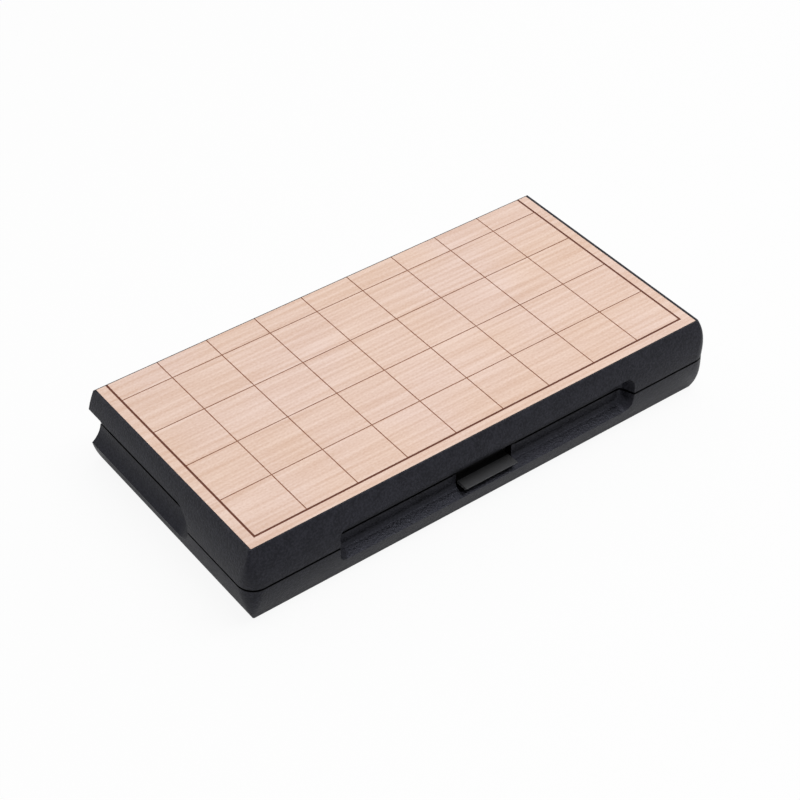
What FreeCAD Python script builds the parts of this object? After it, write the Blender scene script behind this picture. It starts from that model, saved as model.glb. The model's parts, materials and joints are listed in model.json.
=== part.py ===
import FreeCAD, Part
import math
import os

# All sizes in millimetres, Z up, the folded set resting on its lower board
V = FreeCAD.Vector
X_AXIS = V(1, 0, 0)
Y_AXIS = V(0, 1, 0)
Z_AXIS = V(0, 0, 1)

# Board: half of a nine by nine grid on each outer face
COLUMNS = 9
HALF_ROWS = 4.5
CELL_X = 25.4
CELL_Y = 25.2
SIDE_MARGIN = 5.1
FRONT_MARGIN = 5.1
FRAME_LINE = 0.98
GRID_LINE = 0.46
LINE_DEPTH = 0.1

# Case: two equal halves with walls that bulge in an arc, and corners that grow rounder towards the parting
THICKNESS = 38.6
FRONT_RIM = 0.7
END_RIM = 1.2
BACK_RIM = 0.4
FRONT_BULGE = 4.5
END_BULGE = 4.4
FLAT_CORNER = 1.0
PARTING_CORNER = 8.0
WALL = 2.0
FLOOR_PLASTIC = 1.5
STEEL = 0.5
LAMINATE = 0.6
SHEET_GAP = 0.1
PARTING_GAP = 0.1
STEP_DEPTH = 1.0
STEP_HEIGHT = 0.4

# Alignment tongue on the lower rim, and its rebate in the upper rim
TONGUE_INSET = 1.2
TONGUE_HEIGHT = 1.2
REBATE_INSET = 1.0
REBATE_HEIGHT = 1.5
TONGUE_END_FROM_HINGE = 14.0
REBATE_END_FROM_HINGE = 10.0

# Finger channels: a flared pocket at the front, centred on the parting line, and a round groove in each end
FRONT_CHANNEL_DEPTH = 6.8
FRONT_CHANNEL_HALF = 77.3
FRONT_CHANNEL_HEIGHT = 6.9
FRONT_CHANNEL_FLARE = 0.4
FRONT_CHANNEL_CORNER = 5.0
FRONT_CHANNEL_ROUND = 2.5
END_CHANNEL_RADIUS = 11.7
END_CHANNEL_DEPTH = 6.0
END_CHANNEL_START = 44.5
END_CHANNEL_LIFT = 1.0

# Hinge: two groups of knuckles on a steel pin
KNUCKLE_RADIUS = 2.6
KNUCKLE_WIDTH = 7.0
KNUCKLE_GAP = 0.4
KNUCKLE_COUNT = 5
KNUCKLE_CLEARANCE = 0.3
HINGE_OFFSET = 78.0
PIN_RADIUS = 1.0
PIN_RUNNING_CLEARANCE = 0.06
PAD_DEPTH = 5.0
PAD_HEIGHT = 7.0
PAD_OVERHANG = 2.5

# Latch: an L-shaped clip that turns on two trunnions in the lower half
LATCH_HALF = 14.8
LEDGE_HALF = 14.0
LEDGE_REACH = 6.0
LEDGE_TOP = 5.0
LEDGE_THICKNESS = 1.5
LEDGE_LAND = 0.3
LEDGE_UNDERCUT = 1.1
ARM_SET_BACK = 3.6
ARM_THICKNESS = 1.6
ARM_RISE = 4.8
NOSE_HALF = 12.0
NOSE_REACH = 0.9
NOSE_UNDERSIDE = 3.1
NOSE_TIP_HEIGHT = 0.6
PIVOT_DROP = 9.8
BOSS_RADIUS = 1.8
TRUNNION_RADIUS = 1.22
TRUNNION_LENGTH = 1.5
SOCKET_CLEARANCE = 0.06
GUSSET_OFFSET = 9.0
GUSSET_WIDTH = 1.5
GUSSET_SIZE = 2.0
POCKET_HALF = 15.2
POCKET_BACK = 6.9
POCKET_FRONT = 1.0
POCKET_DEPTH = 12.0
POCKET_WALL = 1.8
WINDOW_DEPTH = 8.3
RELIEF_HEIGHT = 7.0
CATCH_CLEARANCE = 0.2
CATCH_DEPTH = 1.8
CATCH_LOW = 0.7
CATCH_HIGH = 2.8
CHEEK_HEIGHT = 9.0

# Playing pieces: length, base width and base thickness of each rank
RANKS = {
    "king": (21.0, 19.0, 5.2),
    "rook": (20.2, 18.0, 5.0),
    "bishop": (20.2, 18.0, 5.0),
    "gold": (19.4, 17.0, 4.8),
    "silver": (19.4, 17.0, 4.8),
    "knight": (18.6, 16.0, 4.5),
    "lance": (18.6, 15.0, 4.5),
    "pawn": (17.8, 14.0, 4.3),
}
SHOULDER_LENGTH = 0.78
SHOULDER_WIDTH = 0.76
TIP_THICKNESS = 0.66
PIECE_EDGE = 0.3
BACK_RANK = ["lance", "knight", "silver", "gold", "king", "gold", "silver", "knight", "lance"]
SINGLE_RANKS = ["king", "rook", "bishop"]
ARMY_ROWS = 3
STORED_ROW_SHIFT = 7.4
MAGNET_RADIUS = 4.0
MAGNET_THICKNESS = 1.8

# Places that follow from the sizes above
PARTING_Z = THICKNESS / 2
FLAT_X = COLUMNS * CELL_X / 2 + SIDE_MARGIN + END_RIM
OUTER_X = FLAT_X + END_BULGE
DEPTH = HALF_ROWS * CELL_Y + BACK_RIM + FRONT_MARGIN + FRONT_RIM + FRONT_BULGE
HINGE_Y = (DEPTH - KNUCKLE_RADIUS) / 2
FRONT_Y = HINGE_Y - DEPTH
FLAT_Y = FRONT_Y + FRONT_BULGE
SHEET_FRONT_Y = FLAT_Y + FRONT_RIM
SHEET_BACK_Y = HINGE_Y - BACK_RIM
FRAME_Y = SHEET_FRONT_Y + FRONT_MARGIN
FRAME_X = COLUMNS * CELL_X / 2
SHEET_X = FRAME_X + SIDE_MARGIN
BACK_FACE_Y = HINGE_Y - PARTING_GAP
RECESS = STEEL + LAMINATE
FLOOR_Z = RECESS + FLOOR_PLASTIC
DEEP_Y = FRONT_Y + FRONT_CHANNEL_DEPTH
PIVOT_Y = DEEP_Y + ARM_SET_BACK + ARM_THICKNESS / 2
PIVOT_Z = PARTING_Z - PIVOT_DROP
HINGE_LENGTH = KNUCKLE_COUNT * KNUCKLE_WIDTH + (KNUCKLE_COUNT - 1) * KNUCKLE_GAP
FAR = 400.0
MARGIN = 10.0
TOLERANCE = 0.001


def block(x0, x1, y0, y1, z0, z1):
    """A box between two opposite corners."""
    return Part.makeBox(x1 - x0, y1 - y0, z1 - z0, V(x0, y0, z0))


def prism_x(outline, x0, x1):
    """A closed outline of (y, z) points drawn out along X."""
    points = [V(x0, y, z) for y, z in outline]
    face = Part.Face(Part.makePolygon(points + points[:1]))
    return face.extrude(V(x1 - x0, 0, 0))


def rod_x(radius, x0, x1, y, z):
    """A round bar along X."""
    return Part.makeCylinder(radius, x1 - x0, V(x0, y, z), X_AXIS)


def bulged_face(foot, outward, bulge, back):
    """A wall's bulged section from the lower face to the upper, closed at a distance behind its foot."""
    lift = Z_AXIS * THICKNESS
    middle = foot + Z_AXIS * PARTING_Z + outward * bulge
    inner_foot = foot - outward * back
    edges = [
        Part.Arc(foot, middle, foot + lift).toShape(),
        Part.makeLine(foot + lift, inner_foot + lift),
        Part.makeLine(inner_foot + lift, inner_foot),
        Part.makeLine(inner_foot, foot),
    ]
    return Part.Face(Part.Wire(edges))


def is_corner(edge, flat_y):
    """True for the edge of a lower half where its front wall meets one of its ends."""
    foot, top = sorted((vertex.Point for vertex in edge.Vertexes[:2]), key=lambda point: point.z)
    return top.z - foot.z > PARTING_Z - TOLERANCE and foot.y < flat_y + TOLERANCE


def rounded_corner(form, edge):
    """A form with one upright corner rounded, more at the parting than at the flat face."""
    radii = [FLAT_CORNER, PARTING_CORNER]
    if edge.valueAt(edge.FirstParameter).z > edge.valueAt(edge.LastParameter).z:
        radii.reverse()
    return form.makeFillet(radii[0], radii[1], [edge])


def pillow(inset):
    """The closed set's outer form, drawn in by an inset at the front and the two ends."""
    flat_x = FLAT_X - inset
    flat_y = FLAT_Y + inset
    foot_y = FRONT_Y - MARGIN
    foot_x = OUTER_X + MARGIN
    front = bulged_face(V(-foot_x, flat_y, 0), -Y_AXIS, FRONT_BULGE, HINGE_Y - flat_y)
    front = front.extrude(X_AXIS * (2 * foot_x))
    ends = []
    for side in (-1, 1):
        end = bulged_face(V(side * flat_x, foot_y, 0), X_AXIS * side, END_BULGE, flat_x)
        ends.append(end.extrude(Y_AXIS * (HINGE_Y - foot_y)))
    form = front.common(ends[0].fuse(ends[1])).common(slab(0, PARTING_Z, HINGE_Y)).removeSplitter()
    for side in (-1, 1):
        corner = [edge for edge in form.Edges if is_corner(edge, flat_y) and edge.CenterOfMass.x * side > 0]
        form = rounded_corner(form, corner[0])
    return form.fuse(mirrored(form)).removeSplitter()


def front_channel(inset):
    """The front finger channel as a solid, with flared walls, round corners and a round back edge."""
    mouth_y = FRONT_Y - MARGIN
    back_y = DEEP_Y + inset
    sizes = []
    for y in (mouth_y, back_y):
        spread = (DEEP_Y - y) * FRONT_CHANNEL_FLARE + inset * math.hypot(1, FRONT_CHANNEL_FLARE)
        sizes.append((FRONT_CHANNEL_HALF + spread, FRONT_CHANNEL_HEIGHT + spread))
    (mouth_x, mouth_z), (back_x, back_z) = sizes
    low = (-mouth_x, mouth_y, PARTING_Z - mouth_z, PARTING_Z - back_z, -back_x)
    high = (mouth_x, back_y, PARTING_Z + mouth_z, PARTING_Z + back_z, back_x)
    form = Part.makeWedge(*low, *high)
    slanted = [edge for edge in form.Edges if abs(edge.Vertexes[0].Y - edge.Vertexes[1].Y) > TOLERANCE]
    form = form.makeFillet(FRONT_CHANNEL_CORNER + inset, slanted)
    deepest = [edge for edge in form.Edges if min(vertex.Y for vertex in edge.Vertexes) > back_y - TOLERANCE]
    return form.makeFillet(FRONT_CHANNEL_ROUND + inset, deepest)


def end_channel(start, radius):
    """A round bar along Y with a ball end at its start."""
    behind = start - Y_AXIS * radius
    beside = start + Z_AXIS * radius
    bend = math.sqrt(0.5) * radius
    edges = [
        Part.Arc(behind, start + (Z_AXIS - Y_AXIS) * bend, beside).toShape(),
        Part.makeLine(beside, beside + Y_AXIS * FAR),
        Part.makeLine(beside + Y_AXIS * FAR, start + Y_AXIS * FAR),
        Part.makeLine(start + Y_AXIS * FAR, behind),
    ]
    return Part.Face(Part.Wire(edges)).revolve(start, Y_AXIS, 360)


def channels(inset, lift):
    """The finger channels as solids to be cut away, wider by an inset, with the end ones lifted."""
    cuts = [front_channel(inset)]
    axis_x = OUTER_X - END_CHANNEL_DEPTH + END_CHANNEL_RADIUS
    for side in (-1, 1):
        start = V(side * axis_x, FRAME_Y + END_CHANNEL_START, PARTING_Z + lift)
        cuts.append(end_channel(start, END_CHANNEL_RADIUS + inset))
    return cuts


def formed(inset, lift=END_CHANNEL_LIFT):
    """The outer form with its finger channels, drawn in by an inset."""
    return pillow(inset).cut(channels(inset, lift))


def slab(z0, z1, back_y):
    """All space between two heights, in front of a plane."""
    return block(-FAR, FAR, -FAR, back_y, z0, z1)


def plain_half(lift):
    """A half that lies face down, before its hinge, rim and latch parts."""
    top = PARTING_Z - PARTING_GAP
    body = formed(0, lift).common(slab(0, top - STEP_HEIGHT, BACK_FACE_Y))
    step = formed(STEP_DEPTH, lift).common(slab(top - STEP_HEIGHT, top, BACK_FACE_Y))
    body = body.fuse(step)
    body = body.cut(formed(WALL, lift).common(slab(FLOOR_Z, THICKNESS, BACK_FACE_Y - WALL)))
    recess = block(-SHEET_X, SHEET_X, SHEET_FRONT_Y, SHEET_BACK_Y, 0, RECESS)
    return body.cut(recess)


def mirrored(shape):
    """The same shape on the other side of the parting plane."""
    return shape.mirror(V(0, 0, PARTING_Z), Z_AXIS)


def knuckle_spans(owner):
    """Start and end along X of each knuckle that a half owns: 0 for lower, 1 for upper."""
    spans = []
    for centre in (-HINGE_OFFSET, HINGE_OFFSET):
        for index in range(owner, KNUCKLE_COUNT, 2):
            start = centre - HINGE_LENGTH / 2 + index * (KNUCKLE_WIDTH + KNUCKLE_GAP)
            spans.append((start, start + KNUCKLE_WIDTH))
    return spans


def with_hinge(half, owner, hole_radius):
    """A lower half with its pads and knuckles, cleared for the knuckles of the other half."""
    for centre in (-HINGE_OFFSET, HINGE_OFFSET):
        reach = HINGE_LENGTH / 2 + PAD_OVERHANG
        low = PARTING_Z - PAD_HEIGHT
        high = PARTING_Z - PARTING_GAP
        pad = block(centre - reach, centre + reach, HINGE_Y - PAD_DEPTH, BACK_FACE_Y, low, high)
        half = half.fuse(pad)
    for start, end in knuckle_spans(1 - owner):
        clear = KNUCKLE_RADIUS + KNUCKLE_CLEARANCE
        half = half.cut(rod_x(clear, start - KNUCKLE_GAP, end + KNUCKLE_GAP, HINGE_Y, PARTING_Z))
    for start, end in knuckle_spans(owner):
        half = half.fuse(rod_x(KNUCKLE_RADIUS, start, end, HINGE_Y, PARTING_Z))
    for centre in (-HINGE_OFFSET, HINGE_OFFSET):
        reach = HINGE_LENGTH / 2
        half = half.cut(rod_x(hole_radius, centre - reach, centre + reach, HINGE_Y, PARTING_Z))
    return half


def tongue():
    """The thin wall on the lower rim that the upper rim closes over."""
    low = PARTING_Z - STEP_HEIGHT
    high = PARTING_Z + TONGUE_HEIGHT
    ring = formed(TONGUE_INSET).cut(formed(WALL))
    ring = ring.common(slab(low, high, HINGE_Y - TONGUE_END_FROM_HINGE))
    gap = POCKET_HALF + POCKET_WALL
    return ring.cut(block(-gap, gap, FRONT_Y, DEEP_Y + POCKET_BACK, 0, THICKNESS))


def latch_pocket(half):
    """A lower half with the walled pocket and window that hold the latch."""
    side = POCKET_HALF + POCKET_WALL
    low = PARTING_Z - POCKET_DEPTH - POCKET_WALL
    high = PARTING_Z - PARTING_GAP
    back = DEEP_Y + POCKET_BACK
    walls = block(-side, side, FRONT_Y, back + POCKET_WALL, low, high)
    half = half.fuse(walls.common(formed(0)))
    inside = block(-POCKET_HALF, POCKET_HALF, DEEP_Y + POCKET_FRONT, back, low + POCKET_WALL, THICKNESS)
    sill = PARTING_Z - WINDOW_DEPTH
    window = block(-POCKET_HALF, POCKET_HALF, FRONT_Y, DEEP_Y + POCKET_FRONT, sill, THICKNESS)
    socket_reach = LATCH_HALF + TRUNNION_LENGTH + SOCKET_CLEARANCE
    sockets = rod_x(TRUNNION_RADIUS + SOCKET_CLEARANCE, -socket_reach, socket_reach, PIVOT_Y, PIVOT_Z)
    return half.cut([inside, window, sockets])


def latch_receiver(half):
    """An upper half with the cheeks and catch bar that the latch's nose holds."""
    low = PARTING_Z + REBATE_HEIGHT
    high = PARTING_Z + CHEEK_HEIGHT
    back = DEEP_Y + ARM_SET_BACK + ARM_THICKNESS + NOSE_REACH + CATCH_CLEARANCE
    outer = POCKET_HALF + POCKET_WALL
    top = mirrored(formed(0))
    relief_top = PARTING_Z + RELIEF_HEIGHT
    relief = block(-POCKET_HALF, POCKET_HALF, DEEP_Y + POCKET_FRONT, back, PARTING_Z, relief_top)
    half = half.cut(relief)
    for start in (-outer, POCKET_HALF):
        cheek = block(start, start + POCKET_WALL, FRONT_Y, back + CATCH_DEPTH, low, high)
        half = half.fuse(cheek.common(top))
    bar_low = PARTING_Z + CATCH_LOW
    bar = block(-outer, outer, back, back + CATCH_DEPTH, bar_low, PARTING_Z + CATCH_HIGH)
    return half.fuse(bar)


def make_lower_case():
    """The lower shell: hinge knuckles, tongue, latch pocket and board recess."""
    half = with_hinge(plain_half(END_CHANNEL_LIFT), 0, PIN_RADIUS)
    half = half.fuse(tongue())
    return latch_pocket(half).removeSplitter()


def make_upper_case():
    """The upper shell: hinge knuckles, rebate for the tongue, catch bar and board recess."""
    half = mirrored(with_hinge(plain_half(-END_CHANNEL_LIFT), 1, PIN_RADIUS + PIN_RUNNING_CLEARANCE))
    rebate = formed(REBATE_INSET)
    high = PARTING_Z + REBATE_HEIGHT
    rebate = rebate.common(slab(PARTING_Z, high, HINGE_Y - REBATE_END_FROM_HINGE))
    return latch_receiver(half.cut(rebate)).removeSplitter()


def grid_lines():
    """The board's printed lines as shallow grooves in the lower board's face."""
    grooves = []
    back = SHEET_BACK_Y
    frame = FRAME_LINE / 2
    thin = GRID_LINE / 2
    for x in (-FRAME_X, FRAME_X):
        grooves.append(block(x - frame, x + frame, FRAME_Y - frame, back, 0, LINE_DEPTH))
    grooves.append(block(-FRAME_X, FRAME_X, FRAME_Y - frame, FRAME_Y + frame, 0, LINE_DEPTH))
    for column in range(1, COLUMNS):
        x = column * CELL_X - FRAME_X
        grooves.append(block(x - thin, x + thin, FRAME_Y, back, 0, LINE_DEPTH))
    for row in range(1, math.ceil(HALF_ROWS)):
        y = FRAME_Y + row * CELL_Y
        grooves.append(block(-FRAME_X, FRAME_X, y - thin, y + thin, 0, LINE_DEPTH))
    return grooves


def make_sheet(z0, z1):
    """A flat sheet that fills the board recess between two heights."""
    x = SHEET_X - SHEET_GAP
    return block(-x, x, SHEET_FRONT_Y + SHEET_GAP, SHEET_BACK_Y - SHEET_GAP, z0, z1)


def make_board():
    """The printed laminate of the lower board."""
    return make_sheet(0, LAMINATE).cut(grid_lines()).removeSplitter()


def make_hinge_pin(centre):
    """One steel pin through a group of knuckles."""
    reach = HINGE_LENGTH / 2
    return rod_x(PIN_RADIUS, centre - reach, centre + reach, HINGE_Y, PARTING_Z)


def make_latch():
    """The clip: pivot boss with trunnions, arm, hook nose, undercut finger ledge and two gussets."""
    front = DEEP_Y + ARM_SET_BACK
    back = front + ARM_THICKNESS
    ledge_top = PARTING_Z - LEDGE_TOP
    ledge_low = ledge_top - LEDGE_THICKNESS
    arm = block(-LATCH_HALF, LATCH_HALF, front, back, PIVOT_Z, PARTING_Z + ARM_RISE)
    boss = rod_x(BOSS_RADIUS, -LATCH_HALF, LATCH_HALF, PIVOT_Y, PIVOT_Z)
    reach = LATCH_HALF + TRUNNION_LENGTH
    axle = rod_x(TRUNNION_RADIUS, -reach, reach, PIVOT_Y, PIVOT_Z)
    ledge_tip = DEEP_Y - LEDGE_REACH
    ledge = [
        (front, ledge_top),
        (ledge_tip, ledge_top),
        (ledge_tip, ledge_top - LEDGE_LAND),
        (ledge_tip + LEDGE_UNDERCUT, ledge_low),
        (front, ledge_low),
    ]
    underside = PARTING_Z + NOSE_UNDERSIDE
    tip = back + NOSE_REACH
    nose = [
        (back, underside),
        (tip, underside),
        (tip, underside + NOSE_TIP_HEIGHT),
        (back, PARTING_Z + ARM_RISE),
    ]
    solids = [boss, axle, prism_x(ledge, -LEDGE_HALF, LEDGE_HALF), prism_x(nose, -NOSE_HALF, NOSE_HALF)]
    gusset = [(front, ledge_low), (front, ledge_low - GUSSET_SIZE), (front - GUSSET_SIZE, ledge_low)]
    for x in (-GUSSET_OFFSET, GUSSET_OFFSET):
        solids.append(prism_x(gusset, x - GUSSET_WIDTH / 2, x + GUSSET_WIDTH / 2))
    return arm.fuse(solids).removeSplitter()


def magnet(x, y):
    """The disc magnet under a stored piece, flush with its underside."""
    return Part.makeCylinder(MAGNET_RADIUS, MAGNET_THICKNESS, V(x, y, FLOOR_Z))


def is_upright(edge):
    """True for a straight edge along Z."""
    direction = edge.Vertexes[1].Point - edge.Vertexes[0].Point
    return math.hypot(direction.x, direction.y) < TOLERANCE


def make_playing_piece(rank, x, y):
    """A five-sided wedge that lies flat on the case floor, with a pocket for its magnet."""
    length, width, thickness = RANKS[rank]
    base = y - length / 2
    shoulder = base + length * SHOULDER_LENGTH
    half = width / 2
    narrow = half * SHOULDER_WIDTH
    outline = [(-half, base), (half, base), (narrow, shoulder), (0, base + length), (-narrow, shoulder)]
    points = [V(x + px, py, FLOOR_Z) for px, py in outline]
    body = Part.Face(Part.makePolygon(points + points[:1])).extrude(Z_AXIS * thickness)
    body = body.makeChamfer(PIECE_EDGE, [edge for edge in body.Edges if is_upright(edge)])
    top = FLOOR_Z + thickness
    tip = FLOOR_Z + thickness * TIP_THICKNESS
    over = [(base, top), (base + length, tip), (base + length, top + thickness), (base, top + thickness)]
    body = body.cut(prism_x(over, x - width, x + width))
    return body.cut(magnet(x, y))


def stored_places(half_name):
    """Rank, X and Y of each stored piece of a half, in its opening layout."""
    columns = [(index - (COLUMNS - 1) / 2) * CELL_X for index in range(COLUMNS)]
    rows = [FRAME_Y + (index + 0.5) * CELL_Y + STORED_ROW_SHIFT for index in range(ARMY_ROWS)]
    places = [(rank, x, rows[0]) for rank, x in zip(BACK_RANK, columns)]
    bishop, rook = (1, 7) if half_name == "lower" else (7, 1)
    places.append(("bishop", columns[bishop], rows[1]))
    places.append(("rook", columns[rook], rows[1]))
    places += [("pawn", x, rows[2]) for x in columns]
    return places


def make_pieces(half_name):
    """The twenty stored pieces of a half, by node name, and their magnets as one group."""
    named = {}
    magnets = []
    seen = {}
    for rank, x, y in stored_places(half_name):
        seen[rank] = seen.get(rank, 0) + 1
        name = f"{half_name}_{rank}"
        if rank not in SINGLE_RANKS:
            name = f"{name}_{seen[rank]}"
        named[name] = make_playing_piece(rank, x, y)
        magnets.append(magnet(x, y))
    named[f"{half_name}_piece_magnets"] = Part.makeCompound(magnets)
    return named


def make_half_set(half_name):
    """The sheets, pieces and magnets of one half, as they lie in the lower half."""
    nodes = {
        f"{half_name}_board_sheet": make_board(),
        f"{half_name}_steel_sheet": make_sheet(LAMINATE, RECESS),
    }
    nodes.update(make_pieces(half_name))
    return nodes


def make_all():
    """Every node of the folded set."""
    nodes = {
        "lower_case": make_lower_case(),
        "upper_case": make_upper_case(),
        "hinge_pin_left": make_hinge_pin(-HINGE_OFFSET),
        "hinge_pin_right": make_hinge_pin(HINGE_OFFSET),
        "latch": make_latch(),
    }
    nodes.update(make_half_set("lower"))
    for name, shape in make_half_set("upper").items():
        nodes[name] = mirrored(shape)
    return nodes


os.makedirs("parts", exist_ok=True)
for name, shape in make_all().items():
    shape.exportStep(f"parts/{name}.step")
    print(f"{name}: {len(shape.Solids)} solids, {shape.Volume:.1f} mm3, valid {shape.isValid()}")
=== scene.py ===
import json
import math

import bmesh
import bpy
from mathutils import Matrix, Vector


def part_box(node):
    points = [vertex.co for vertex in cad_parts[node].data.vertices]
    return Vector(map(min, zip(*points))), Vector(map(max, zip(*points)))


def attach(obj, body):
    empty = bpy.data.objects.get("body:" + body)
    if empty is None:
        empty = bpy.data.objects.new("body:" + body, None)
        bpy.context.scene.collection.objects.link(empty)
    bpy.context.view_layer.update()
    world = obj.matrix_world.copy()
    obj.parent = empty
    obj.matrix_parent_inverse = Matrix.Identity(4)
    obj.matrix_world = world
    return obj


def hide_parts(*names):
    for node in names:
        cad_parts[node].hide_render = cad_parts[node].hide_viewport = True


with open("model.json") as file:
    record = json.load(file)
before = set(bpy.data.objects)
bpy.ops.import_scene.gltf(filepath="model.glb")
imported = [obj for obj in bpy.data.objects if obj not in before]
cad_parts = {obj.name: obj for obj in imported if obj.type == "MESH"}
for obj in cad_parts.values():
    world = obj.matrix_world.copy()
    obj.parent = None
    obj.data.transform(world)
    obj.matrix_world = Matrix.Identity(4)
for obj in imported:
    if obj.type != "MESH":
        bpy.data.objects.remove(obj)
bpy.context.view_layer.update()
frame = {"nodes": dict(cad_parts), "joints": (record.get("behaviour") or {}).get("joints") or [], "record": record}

MM = 0.001

# The board's print, as real sizes in millimetres
COLUMNS = 9
HALF_ROWS = 4.5
CELL_X = 25.4
CELL_Y = 25.2
BACK_RIM = 0.4
THIN_LINE = 0.5
FRAME_LINE = 1.02
INK_BLEED = 0.07
HINGE_Y = frame["joints"][0]["pos_m"][1] / MM
PARTING_Z = frame["joints"][0]["pos_m"][2] / MM
FRAME_X = COLUMNS * CELL_X / 2
FRAME_Y = HINGE_Y - BACK_RIM - HALF_ROWS * CELL_Y

# Painted shade in the case's hollows, in millimetres: the groove along the parting and the latch's pocket
GROOVE_HALF = 0.8
FAR = 400.0
LEDGE_REACH = 6.0
POCKET_HALF = 15.4
POCKET_LIP = 0.35
POCKET_RANGE = (5.0, 30.0)
LATCH_LOW, LATCH_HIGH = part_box("latch")
POCKET_Y = LATCH_LOW.y / MM + LEDGE_REACH + POCKET_LIP

# The playing pieces, as real sizes in millimetres
SHOULDER_LENGTH = 0.78
SHOULDER_WIDTH = 0.76
TIP_THICKNESS = 0.66
PIECE_EDGE = 0.35
MAGNET_RADIUS = 4.0
MAGNET_THICKNESS = 1.8
POCKET_INSET = 1.6
POCKET_CUTS = 7
MARK_LIFT = 0.03
MARK_OFFSET = -1.2
DOT_RADIUS = 1.0
DOT_SIDES = 24
STROKE_START = 1.7
STROKE_REACH = {1: 3.7, 2: 5.9}
STROKE_WIDTH = 1.1
STROKE_TAPER = 0.45
MOVES = {
    "king": [(0, 1), (45, 1), (90, 1), (135, 1), (180, 1), (225, 1), (270, 1), (315, 1)],
    "rook": [(0, 2), (90, 2), (180, 2), (270, 2)],
    "bishop": [(45, 2), (135, 2), (225, 2), (315, 2)],
    "gold": [(0, 1), (45, 1), (90, 1), (180, 1), (270, 1), (315, 1)],
    "silver": [(0, 1), (45, 1), (135, 1), (225, 1), (315, 1)],
    "knight": [(27, 2), (333, 2)],
    "lance": [(0, 2)],
    "pawn": [(0, 1)],
}


# Small helpers for node trees
def add_node(tree, kind, **settings):
    """A shader node with some of its settings."""
    made = tree.nodes.new("ShaderNode" + kind)
    for name, value in settings.items():
        setattr(made, name, value)
    return made


def feed(tree, socket, source):
    """Gives a socket a link where the source is a socket, and a value where it isn't."""
    if isinstance(source, bpy.types.NodeSocket):
        tree.links.new(source, socket)
    else:
        socket.default_value = source


def compute(tree, operation, first, second=0.0, third=0.0):
    """One step of arithmetic on numbers."""
    made = add_node(tree, "Math", operation=operation)
    for socket, source in zip(made.inputs, (first, second, third)):
        feed(tree, socket, source)
    return made.outputs["Value"]


def remap(tree, value, low, high, to_low=0.0, to_high=1.0, curve="LINEAR"):
    """A number moved from one range to another, and held inside it."""
    made = add_node(tree, "MapRange", interpolation_type=curve)
    sources = (value, low, high, to_low, to_high)
    for name, source in zip(("Value", "From Min", "From Max", "To Min", "To Max"), sources):
        feed(tree, made.inputs[name], source)
    return made.outputs["Result"]


def mix_colour(tree, factor, first, second, mode="MIX"):
    """Two colours mixed by a factor."""
    made = add_node(tree, "Mix", data_type="RGBA", blend_type=mode)
    colours = [socket for socket in made.inputs if socket.type == "RGBA"]
    for socket, source in zip([made.inputs["Factor"]] + colours, (factor, first, second)):
        feed(tree, socket, source)
    return [socket for socket in made.outputs if socket.type == "RGBA"][0]


def stretch(tree, position, scale):
    """A position with each axis scaled by its own amount."""
    made = add_node(tree, "VectorMath", operation="MULTIPLY")
    feed(tree, made.inputs[0], position)
    feed(tree, made.inputs[1], scale)
    return made.outputs["Vector"]


def noise(tree, position, scale, detail=2.0, roughness=0.5, offset=None):
    """Noise between 0 and 1, with its lumps about one over scale across."""
    if offset is not None:
        moved = add_node(tree, "VectorMath", operation="ADD")
        feed(tree, moved.inputs[0], position)
        feed(tree, moved.inputs[1], offset)
        position = moved.outputs["Vector"]
    made = add_node(tree, "TexNoise")
    feed(tree, made.inputs["Vector"], position)
    feed(tree, made.inputs["Scale"], scale)
    feed(tree, made.inputs["Detail"], detail)
    feed(tree, made.inputs["Roughness"], roughness)
    return made.outputs["Fac"]


def new_group(name, inputs, outputs):
    """An empty shader node group with named inputs and outputs."""
    tree = bpy.data.node_groups.new(name, "ShaderNodeTree")
    for label, kind, default in inputs:
        socket = tree.interface.new_socket(label, in_out="INPUT", socket_type="NodeSocket" + kind)
        if default is not None:
            socket.default_value = default
    for label, kind in outputs:
        tree.interface.new_socket(label, in_out="OUTPUT", socket_type="NodeSocket" + kind)
    return tree, tree.nodes.new("NodeGroupInput").outputs, tree.nodes.new("NodeGroupOutput").inputs


def place_group(tree, group, **values):
    """A group inside a material, with its own values. Underscores in a name stand for spaces."""
    made = add_node(tree, "Group", node_tree=group)
    for name, value in values.items():
        feed(tree, made.inputs[name.replace("_", " ")], value)
    return made.outputs


# Effects that several materials share
def make_moulded_grain():
    """The fine spark-eroded texture of a mould, with soft cloudy patches in its tone."""
    inputs = [
        ("Position", "Vector", None),
        ("Grain size", "Float", 0.0004),
        ("Patch size", "Float", 0.006),
        ("Tone spread", "Float", 0.3),
        ("Dark", "Color", (0.01, 0.01, 0.011, 1)),
        ("Light", "Color", (0.02, 0.02, 0.022, 1)),
        ("Roughness", "Float", 0.5),
    ]
    outputs = [("Colour", "Color"), ("Roughness", "Float"), ("Height", "Float")]
    tree, given, result = new_group("Moulded grain", inputs, outputs)
    grain_scale = compute(tree, "DIVIDE", 1.0, given["Grain size"])
    patch_scale = compute(tree, "DIVIDE", 1.0, given["Patch size"])
    grain = noise(tree, given["Position"], grain_scale, detail=2.0, roughness=0.6)
    patch = noise(tree, given["Position"], patch_scale, detail=3.0, roughness=0.6, offset=(0.3, 0.1, 0.7))
    speck = remap(tree, grain, 0.3, 0.75, curve="SMOOTHSTEP")
    mixed = compute(tree, "MULTIPLY_ADD", patch, 0.6, compute(tree, "MULTIPLY", speck, 0.4))
    centred = compute(tree, "SUBTRACT", mixed, 0.5)
    tone = compute(tree, "MULTIPLY_ADD", centred, given["Tone spread"], 0.5)
    tree.links.new(mix_colour(tree, tone, given["Dark"], given["Light"]), result["Colour"])
    rough = compute(tree, "MULTIPLY_ADD", compute(tree, "SUBTRACT", patch, 0.5), 0.22, given["Roughness"])
    tree.links.new(rough, result["Roughness"])
    tree.links.new(grain, result["Height"])
    return tree


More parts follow.
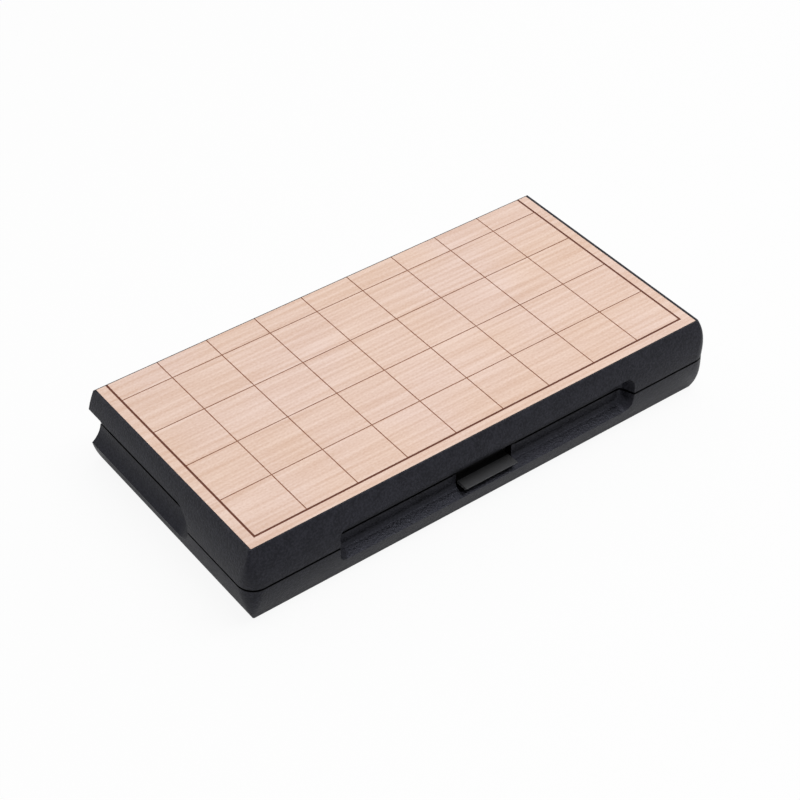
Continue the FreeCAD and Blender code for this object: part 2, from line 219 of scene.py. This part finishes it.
def make_wood_streaks():
    """Straight printed wood grain along X: fine long streaks, a few deeper ones, and soft bands of tone."""
    inputs = [
        ("Position", "Vector", None),
        ("Streak width", "Float", 0.0015),
        ("Streak length", "Float", 0.045),
        ("Contrast", "Float", 1.0),
        ("Pale", "Color", (0.8, 0.6, 0.48, 1)),
        ("Deep", "Color", (0.66, 0.43, 0.3, 1)),
    ]
    tree, given, result = new_group("Wood streaks", inputs, [("Colour", "Color"), ("Height", "Float")])
    across = compute(tree, "DIVIDE", 1.0, given["Streak width"])
    along = compute(tree, "DIVIDE", 1.0, given["Streak length"])
    scale = add_node(tree, "CombineXYZ")
    feed(tree, scale.inputs["X"], along)
    feed(tree, scale.inputs["Y"], across)
    feed(tree, scale.inputs["Z"], along)
    position = stretch(tree, given["Position"], scale.outputs["Vector"])
    streaks = noise(tree, position, 1.0, detail=0.0)
    bands = noise(tree, stretch(tree, position, (0.6, 0.12, 1.0)), 1.0, detail=1.0, offset=(1.7, 8.2, 0.0))
    flecks = noise(tree, stretch(tree, position, (40.0, 2.0, 1.0)), 1.0, detail=0.0, offset=(5.1, 3.3, 0.0))
    depth = compute(tree, "SUBTRACT", 0.5, streaks)
    depth = compute(tree, "MULTIPLY_ADD", compute(tree, "SUBTRACT", 0.5, bands), 0.18, depth)
    depth = compute(tree, "MULTIPLY_ADD", compute(tree, "SUBTRACT", 0.5, flecks), 0.6, depth)
    depth = compute(tree, "MULTIPLY", depth, given["Contrast"])
    tone = remap(tree, depth, -0.36, 0.4)
    tree.links.new(mix_colour(tree, tone, given["Pale"], given["Deep"]), result["Colour"])
    tree.links.new(compute(tree, "SUBTRACT", 1.0, tone), result["Height"])
    return tree


def make_board_lines():
    """The ink of the thin grid and of the thicker frame, open at the fold, in the board's own place."""
    inputs = [
        ("Position", "Vector", None),
        ("Thin width", "Float", THIN_LINE * MM),
        ("Frame width", "Float", FRAME_LINE * MM),
    ]
    tree, given, result = new_group("Board lines", inputs, [("Grid", "Float"), ("Frame", "Float")])
    split = add_node(tree, "SeparateXYZ")
    feed(tree, split.inputs["Vector"], given["Position"])
    x, y = split.outputs["X"], split.outputs["Y"]
    from_side = compute(tree, "ADD", x, FRAME_X * MM)
    from_front = compute(tree, "SUBTRACT", y, FRAME_Y * MM)
    column = compute(tree, "PINGPONG", from_side, CELL_X * MM / 2)
    row = compute(tree, "PINGPONG", from_front, CELL_Y * MM / 2)
    nearest = compute(tree, "MINIMUM", column, row)
    beside = compute(tree, "SUBTRACT", compute(tree, "ABSOLUTE", x), FRAME_X * MM)
    outside = compute(tree, "MAXIMUM", beside, compute(tree, "MULTIPLY", from_front, -1.0))
    bleed = INK_BLEED * MM
    for name, width, distance in (
        ("Grid", given["Thin width"], nearest),
        ("Frame", given["Frame width"], compute(tree, "ABSOLUTE", outside)),
    ):
        half = compute(tree, "MULTIPLY", width, 0.5)
        low = compute(tree, "SUBTRACT", half, bleed)
        high = compute(tree, "ADD", half, bleed)
        ink = remap(tree, distance, low, high, 1.0, 0.0, curve="SMOOTHSTEP")
        if name == "Grid":
            inside = compute(tree, "LESS_THAN", outside, 0.0)
            ink = compute(tree, "MULTIPLY", ink, inside)
        tree.links.new(ink, result[name])
    return tree


def make_painted_hollow_shade():
    """A mask for painted shade that is one inside an upright box and falls softly to nothing at its sides."""
    inputs = [
        ("Position", "Vector", None),
        ("Middle", "Vector", (0, 0, 0)),
        ("Half size", "Vector", (1, 1, 1)),
        ("Softness", "Float", 0.0001),
    ]
    tree, given, result = new_group("Painted hollow shade", inputs, [("Mask", "Float")])
    from_middle = add_node(tree, "VectorMath", operation="SUBTRACT")
    feed(tree, from_middle.inputs[0], given["Position"])
    feed(tree, from_middle.inputs[1], given["Middle"])
    size = add_node(tree, "VectorMath", operation="ABSOLUTE")
    feed(tree, size.inputs[0], from_middle.outputs["Vector"])
    beyond = add_node(tree, "VectorMath", operation="SUBTRACT")
    feed(tree, beyond.inputs[0], size.outputs["Vector"])
    feed(tree, beyond.inputs[1], given["Half size"])
    split = add_node(tree, "SeparateXYZ")
    feed(tree, split.inputs["Vector"], beyond.outputs["Vector"])
    furthest = compute(tree, "MAXIMUM", split.outputs["X"], split.outputs["Y"])
    furthest = compute(tree, "MAXIMUM", furthest, split.outputs["Z"])
    inner = compute(tree, "MULTIPLY", given["Softness"], -1.0)
    mask = remap(tree, furthest, inner, given["Softness"], 1.0, 0.0, curve="SMOOTHSTEP")
    tree.links.new(mask, result["Mask"])
    return tree


MOULDED_GRAIN = make_moulded_grain()
# Painted shade: a mask for the near-black colour put into the case's hollows
PAINTED_HOLLOW_SHADE = make_painted_hollow_shade()
WOOD_STREAKS = make_wood_streaks()
BOARD_LINES = make_board_lines()


# Materials
def new_material(name):
    """A material with a Principled shader, its node tree and the place of each point on the object."""
    material = bpy.data.materials.new(name)
    material.use_nodes = True
    tree = material.node_tree
    tree.nodes.clear()
    shader = add_node(tree, "BsdfPrincipled")
    output = add_node(tree, "OutputMaterial")
    tree.links.new(shader.outputs["BSDF"], output.inputs["Surface"])
    place = add_node(tree, "TexCoord").outputs["Object"]
    return material, tree, shader.inputs, place


def add_bump(tree, shader, height, strength, depth):
    """Relief on a surface, from a height between 0 and 1 and its depth in metres."""
    bump = add_node(tree, "Bump")
    feed(tree, bump.inputs["Height"], height)
    bump.inputs["Strength"].default_value = strength
    bump.inputs["Distance"].default_value = depth
    tree.links.new(bump.outputs["Normal"], shader["Normal"])


def paint_hollow_shade(tree, colour, place, low, high):
    """A colour with painted shade: it turns almost black inside a hollow, given by its low and high corners in
    millimetres.
    """
    low, high = Vector(low) * MM, Vector(high) * MM
    shade = place_group(tree, PAINTED_HOLLOW_SHADE, Position=place, Middle=(low + high) / 2, Half_size=(high - low) / 2)
    # Painted shade: the colour is mixed towards near black inside the box
    return mix_colour(tree, shade["Mask"], colour, PAINTED_SHADE_BLACK)


def make_plastic(name, dark, light, roughness, grain_size, tone_spread, depth, painted_shade_boxes):
    """Moulded plastic with its grain, and painted shade that darkens it inside its hollows."""
    material, tree, shader, place = new_material(name)
    grain = place_group(
        tree, MOULDED_GRAIN, Position=place, Grain_size=grain_size, Tone_spread=tone_spread,
        Dark=dark, Light=light, Roughness=roughness,
    )
    colour = grain["Colour"]
    # Painted shade, one box after another, where shade falls in the hollows
    for low, high in painted_shade_boxes:
        colour = paint_hollow_shade(tree, colour, place, low, high)
    tree.links.new(colour, shader["Base Color"])
    tree.links.new(grain["Roughness"], shader["Roughness"])
    add_bump(tree, shader, grain["Height"], 0.8, depth)
    return material, shader


# Painted shade: near-black colour, and the boxes that it fills, in the parting groove and the latch's pocket
PAINTED_SHADE_BLACK = (0.0006, 0.0006, 0.0008, 1)
GROOVE_SHADE_BOX = ((-FAR, -FAR, PARTING_Z - GROOVE_HALF), (FAR, FAR, PARTING_Z + GROOVE_HALF))
POCKET_SHADE_BOX = ((-POCKET_HALF, POCKET_Y, POCKET_RANGE[0]), (POCKET_HALF, 0, POCKET_RANGE[1]))


def make_case_plastic():
    """Charcoal case plastic with a matt moulded texture, faintly blue, with painted shade in the parting groove and
    the latch's pocket.
    """
    material, shader = make_plastic(
        "charcoal_case_plastic", (0.002, 0.002, 0.003, 1), (0.019, 0.019, 0.025, 1),
        # The last list holds the boxes of painted shade: the parting groove and the latch's pocket
        0.4, 0.001, 2.6, 0.00022, [GROOVE_SHADE_BOX, POCKET_SHADE_BOX],
    )
    shader["Specular IOR Level"].default_value = 0.24
    shader["Specular Tint"].default_value = (0.8, 0.82, 1.0, 1)
    return material


def make_latch_plastic():
    """The latch's smoother grey plastic, with painted shade on the part that lies inside its pocket."""
    material, shader = make_plastic(
        "smooth_latch_plastic", (0.075, 0.076, 0.079, 1), (0.098, 0.099, 0.103, 1),
        # The last list holds the box of painted shade inside the latch's pocket
        0.5, 0.0005, 1.0, 0.00004, [POCKET_SHADE_BOX],
    )
    shader["Specular IOR Level"].default_value = 0.3
    return material


def make_board_laminate():
    """Printed laminate: pale straight-grained wood, with the grid in brown ink."""
    material, tree, shader, place = new_material("printed_board_laminate")
    wood = place_group(
        tree, WOOD_STREAKS, Position=place, Pale=(0.885, 0.683, 0.596, 1), Deep=(0.732, 0.502, 0.395, 1),
    )
    warmth = remap(tree, noise(tree, place, 22.0, detail=1.0), 0.35, 0.65)
    wood_colour = mix_colour(tree, warmth, wood["Colour"], (1.0, 0.985, 0.94, 1), mode="MULTIPLY")
    lines = place_group(tree, BOARD_LINES, Position=place)
    patch = noise(tree, place, 330.0, detail=2.0)
    uneven = remap(tree, patch, 0.3, 0.7, 0.82, 1.0)
    grid = compute(tree, "MULTIPLY", lines["Grid"], uneven)
    printed = mix_colour(tree, grid, wood_colour, (0.245, 0.07, 0.019, 1))
    printed = mix_colour(tree, lines["Frame"], printed, (0.13, 0.03, 0.009, 1))
    tree.links.new(printed, shader["Base Color"])
    sheen = remap(tree, patch, 0.3, 0.7, 0.42, 0.52)
    tree.links.new(sheen, shader["Roughness"])
    shader["Specular IOR Level"].default_value = 0.3
    add_bump(tree, shader, wood["Height"], 0.3, 0.00002)
    return material


def make_piece_plastic():
    """Boxwood-coloured plastic of the playing pieces, with a faint printed grain."""
    material, tree, shader, place = new_material("boxwood_piece_plastic")
    turned = add_node(tree, "CombineXYZ")
    split = add_node(tree, "SeparateXYZ")
    feed(tree, split.inputs["Vector"], place)
    for source, target in (("Y", "X"), ("X", "Y"), ("Z", "Z")):
        tree.links.new(split.outputs[source], turned.inputs[target])
    wood = place_group(
        tree, WOOD_STREAKS, Position=turned.outputs["Vector"], Streak_width=0.0011,
        Streak_length=0.02, Contrast=1.2, Pale=(0.82, 0.56, 0.25, 1), Deep=(0.66, 0.4, 0.15, 1),
    )
    tree.links.new(wood["Colour"], shader["Base Color"])
    smudge = remap(tree, noise(tree, place, 140.0, detail=3.0), 0.3, 0.7, 0.34, 0.48)
    tree.links.new(smudge, shader["Roughness"])
    add_bump(tree, shader, wood["Height"], 0.25, 0.00002)
    return material


def make_piece_ink():
    """The dark print on the playing pieces."""
    material, tree, shader, place = new_material("piece_ink")
    uneven = remap(tree, noise(tree, place, 900.0, detail=2.0), 0.3, 0.7)
    colour = mix_colour(tree, uneven, (0.012, 0.011, 0.011, 1), (0.03, 0.028, 0.027, 1))
    tree.links.new(colour, shader["Base Color"])
    tree.links.new(remap(tree, uneven, 0.0, 1.0, 0.35, 0.5), shader["Roughness"])
    return material


def make_metal(name, dark, light, roughness, along, across):
    """Bright metal with fine drawn marks, finer across than along."""
    material, tree, shader, place = new_material(name)
    marks = noise(tree, stretch(tree, place, (along, across, across)), 1.0, detail=3.0)
    tree.links.new(mix_colour(tree, marks, dark, light), shader["Base Color"])
    rough = remap(tree, marks, 0.25, 0.75, roughness - 0.08, roughness + 0.1)
    tree.links.new(rough, shader["Roughness"])
    shader["Metallic"].default_value = 1.0
    add_bump(tree, shader, marks, 0.2, 0.00002)
    return material


MATERIALS = {
    "case_plastic": make_case_plastic(),
    "latch_plastic": make_latch_plastic(),
    "board_laminate": make_board_laminate(),
    "sheet_steel": make_metal("tinned_sheet_steel", (0.5, 0.51, 0.52, 1), (0.66, 0.67, 0.68, 1), 0.36, 40, 1800),
    "piece_plastic": make_piece_plastic(),
    "magnet_nickel": make_metal("nickel_plated_magnet", (0.66, 0.64, 0.61, 1), (0.78, 0.77, 0.74, 1), 0.2, 900, 900),
    "pin_steel": make_metal("drawn_pin_steel", (0.48, 0.49, 0.5, 1), (0.64, 0.65, 0.66, 1), 0.3, 150, 3000),
}
PIECE_INK = make_piece_ink()


def dress_nodes():
    """Gives every carried-over node the material of its slot."""
    for row in frame["record"]["subparts"]:
        node = frame["nodes"][row["node"]]
        node.data.materials.clear()
        node.data.materials.append(MATERIALS[row["material_slot"]])


# Playing pieces
def wedge_outline(length, width):
    """The five corners of a playing piece in plan, its base centred behind the origin."""
    half = width / 2
    shoulder = length * (SHOULDER_LENGTH - 0.5)
    narrow = half * SHOULDER_WIDTH
    base = -length / 2
    return [(-half, base), (half, base), (narrow, shoulder), (0, -base), (-narrow, shoulder)]


def add_wedge(mesh, length, width, thickness):
    """The body of a playing piece, thinner at its tip, with softened edges."""
    tip_drop = thickness * (1 - TIP_THICKNESS) / length
    lower = []
    upper = []
    for x, y in wedge_outline(length, width):
        lower.append(mesh.verts.new((x, y, 0)))
        upper.append(mesh.verts.new((x, y, thickness - tip_drop * (y + length / 2))))
    mesh.faces.new(list(reversed(lower)))
    mesh.faces.new(upper)
    count = len(lower)
    for index in range(count):
        after = (index + 1) % count
        mesh.faces.new((lower[index], lower[after], upper[after], upper[index]))
    bmesh.ops.bevel(
        mesh, geom=list(mesh.edges), offset=PIECE_EDGE, segments=3, profile=0.5, affect="EDGES",
    )


def cut_magnet_pocket(mesh):
    """A round pocket in the middle of a playing piece's underside, which its magnet fills."""
    mesh.faces.ensure_lookup_table()
    underside = min(mesh.faces, key=lambda face: face.calc_center_median().z)
    bmesh.ops.inset_individual(mesh, faces=[underside], thickness=POCKET_INSET)
    divided = bmesh.ops.subdivide_edges(mesh, edges=list(underside.edges), cuts=POCKET_CUTS)
    rim = {v for e in divided["geom"] if isinstance(e, bmesh.types.BMEdge) for v in e.verts}
    rim = sorted((v for v in rim if underside in v.link_faces), key=lambda v: math.atan2(v.co.y, v.co.x))
    first = math.atan2(rim[0].co.y, rim[0].co.x)
    for index, vert in enumerate(rim):
        angle = first + 2 * math.pi * index / len(rim)
        vert.co.x = MAGNET_RADIUS * math.cos(angle)
        vert.co.y = MAGNET_RADIUS * math.sin(angle)
    roof = bmesh.ops.extrude_discrete_faces(mesh, faces=[underside])["faces"][0]
    bmesh.ops.translate(mesh, verts=roof.verts, vec=(0, 0, MAGNET_THICKNESS))


def add_mark(mesh, outline, place):
    """A printed mark with a closed outline, standing just proud of the face that it lies on."""
    high = [mesh.verts.new(place @ Vector((x, y, MARK_LIFT))) for x, y in outline]
    low = [mesh.verts.new(place @ Vector((x, y, -MARK_LIFT))) for x, y in outline]
    faces = [mesh.faces.new(high), mesh.faces.new(low[::-1])]
    count = len(outline)
    for index in range(count):
        after = (index + 1) % count
        faces.append(mesh.faces.new((low[index], low[after], high[after], high[index])))
    for face in faces:
        face.material_index = 1


def stroke_outline(degrees, reach):
    """A tapered stroke that points away from the mark's centre, clockwise from the tip of the piece."""
    angle = math.radians(degrees)
    ahead = Vector((math.sin(angle), math.cos(angle)))
    right = Vector((ahead.y, -ahead.x)) * STROKE_WIDTH / 2
    near = ahead * STROKE_START
    far = ahead * reach
    thin = right * STROKE_TAPER
    return [near - right, near + right, far + thin, far - thin]


def add_rank_marks(mesh, rank, length, thickness):
    """A dot, and a stroke for each direction that the piece moves in: long ones for sliding moves."""
    slope = math.atan(thickness * (1 - TIP_THICKNESS) / length)
    middle = (thickness * (1 + TIP_THICKNESS) / 2)
    lift = Matrix.Translation((0, 0, middle)) @ Matrix.Rotation(-slope, 4, "X")
    place = lift @ Matrix.Translation((0, MARK_OFFSET, 0))
    steps = range(DOT_SIDES)
    turns = [2 * math.pi * step / DOT_SIDES for step in steps]
    add_mark(mesh, [(DOT_RADIUS * math.cos(turn), DOT_RADIUS * math.sin(turn)) for turn in turns], place)
    for degrees, steps in MOVES[rank]:
        add_mark(mesh, stroke_outline(degrees, STROKE_REACH[steps]), place)


def make_playing_piece(rank, node_name, body_name):
    """A softened wedge with its magnet pocket and its rank's marks, in the place of its node."""
    low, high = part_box(node_name)
    width, length, thickness = (high - low) / MM
    mesh = bmesh.new()
    add_wedge(mesh, length, width, thickness)
    cut_magnet_pocket(mesh)
    add_rank_marks(mesh, rank, length, thickness)
    middle = (low + high) / 2
    if body_name == "upper_half":
        turn = Matrix.Translation((middle.x, middle.y, high.z)) @ Matrix.Rotation(math.pi, 4, "Y")
    else:
        turn = Matrix.Translation((middle.x, middle.y, low.z))
    mesh.transform(turn @ Matrix.Scale(MM, 4))
    piece = finish_mesh(mesh, node_name + "_piece", [MATERIALS["piece_plastic"], PIECE_INK])
    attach(piece, body_name)
    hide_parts(node_name)


def finish_mesh(mesh, name, materials):
    """An object from a bmesh, smooth on its round stretches and flat on its flat faces."""
    bmesh.ops.recalc_face_normals(mesh, faces=mesh.faces)
    data = bpy.data.meshes.new(name)
    mesh.to_mesh(data)
    mesh.free()
    for material in materials:
        data.materials.append(material)
    data.shade_smooth()
    data.set_sharp_from_angle(angle=math.radians(40))
    made = bpy.data.objects.new(name, data)
    bpy.context.scene.collection.objects.link(made)
    made.modifiers.new("even_faces", "WEIGHTED_NORMAL").keep_sharp = True
    return made


def make_playing_pieces():
    """Every playing piece of both halves."""
    for body_name, node_names in frame["record"]["behaviour"]["bodies"].items():
        for node_name in node_names:
            rank = node_name.split("_")[1] if "_" in node_name else ""
            if rank in MOVES:
                make_playing_piece(rank, node_name, body_name)


# Floor, light and camera
FLOOR_GLOW = 0.92
FLOOR_GLOW_IN_GLOSS = 0.2
DARK_SIDE = 0.032
BRIGHT_SIDE = 0.8
ROOM_TURN = 0.65


def studio_is_seen(tree, in_gloss):
    """One for a ray that shows the studio straight or through something clear, and a set amount for one in gloss."""
    path = add_node(tree, "LightPath").outputs
    gloss = compute(tree, "MULTIPLY", path["Is Glossy Ray"], in_gloss)
    seen = compute(tree, "MAXIMUM", path["Is Camera Ray"], gloss)
    return compute(tree, "MAXIMUM", seen, path["Is Transmission Ray"])


def make_floor():
    """A plain white floor that keeps a soft shadow."""
    bpy.ops.mesh.primitive_grid_add(x_subdivisions=2, y_subdivisions=2, size=12, location=(0, 0, -0.0002))
    floor = bpy.context.object
    floor.name = "studio_floor"
    material = bpy.data.materials.new("white_floor")
    material.use_nodes = True
    tree = material.node_tree
    tree.nodes.clear()
    diffuse = add_node(tree, "BsdfDiffuse")
    diffuse.inputs["Color"].default_value = (0.9, 0.9, 0.9, 1)
    glow = add_node(tree, "Emission")
    glow.inputs["Color"].default_value = (1, 1, 1, 1)
    glow.inputs["Strength"].default_value = 1.0
    share = compute(tree, "MULTIPLY", studio_is_seen(tree, FLOOR_GLOW_IN_GLOSS), FLOOR_GLOW)
    mixed = add_node(tree, "MixShader")
    feed(tree, mixed.inputs["Fac"], share)
    tree.links.new(diffuse.outputs["BSDF"], mixed.inputs[1])
    tree.links.new(glow.outputs["Emission"], mixed.inputs[2])
    output = add_node(tree, "OutputMaterial")
    tree.links.new(mixed.outputs["Shader"], output.inputs["Surface"])
    floor.data.materials.append(material)


def make_world():
    """A room that is white where it is seen, and gives less light from the front than from behind."""
    world = bpy.data.worlds.new("studio")
    bpy.context.scene.world = world
    world.use_nodes = True
    tree = world.node_tree
    tree.nodes.clear()
    toward_front = add_node(tree, "VectorMath", operation="DOT_PRODUCT")
    feed(tree, toward_front.inputs[0], add_node(tree, "TexCoord").outputs["Generated"])
    feed(tree, toward_front.inputs[1], (-math.sin(ROOM_TURN), -math.cos(ROOM_TURN), 0))
    side = toward_front.outputs["Value"]
    room = remap(tree, side, -0.25, 0.35, BRIGHT_SIDE, DARK_SIDE, curve="SMOOTHSTEP")
    back = add_node(tree, "Background")
    back.inputs["Color"].default_value = (1, 1, 1, 1)
    feed(tree, back.inputs["Strength"], remap(tree, studio_is_seen(tree, 1.0), 0.0, 1.0, room, 1.0))
    output = add_node(tree, "OutputWorld")
    tree.links.new(back.outputs["Background"], output.inputs["Surface"])


def add_softbox(name, place, aim, width, height, watts):
    """A rectangular softbox that points at a place on the object."""
    lamp = bpy.data.lights.new(name, "AREA")
    lamp.shape = "RECTANGLE"
    lamp.size = width
    lamp.size_y = height
    lamp.energy = watts
    holder = bpy.data.objects.new(name, lamp)
    bpy.context.scene.collection.objects.link(holder)
    direction = Vector(aim) - Vector(place)
    holder.location = place
    holder.rotation_euler = direction.to_track_quat("-Z", "Y").to_euler()
    return holder


def make_lights():
    """A large softbox overhead, and a small one in front that glints along the finger channel."""
    add_softbox("overhead_softbox", (0.2, -0.25, 1.75), (0, -0.05, 0), 1.1, 0.9, 13.7)
    add_softbox("front_softbox", (0.84, -0.55, 1.55), (0, -0.05, 0), 0.5, 0.5, 5.1)


# The photograph's viewpoint
CAMERA_PLACE = (-0.40376, -0.52403, 0.59356)
CAMERA_TURN = -37.476
CAMERA_ELEVATION = 41.275
CAMERA_ROLL = 0.5815
CAMERA_LENS = 89.02


def make_camera():
    """The camera, where the photograph was taken from."""
    data = bpy.data.cameras.new("view")
    data.lens = CAMERA_LENS
    data.sensor_width = 36
    camera = bpy.data.objects.new("view", data)
    turn = Matrix.Rotation(math.radians(CAMERA_TURN), 4, "Z")
    tilt = Matrix.Rotation(math.radians(90 - CAMERA_ELEVATION), 4, "X")
    roll = Matrix.Rotation(math.radians(CAMERA_ROLL), 4, "Z")
    camera.matrix_world = Matrix.Translation(CAMERA_PLACE) @ turn @ tilt @ roll
    bpy.context.scene.collection.objects.link(camera)
    bpy.context.scene.camera = camera


dress_nodes()
make_playing_pieces()
make_floor()
make_world()
make_lights()
make_camera()
bpy.context.scene.view_settings.view_transform = "Standard"
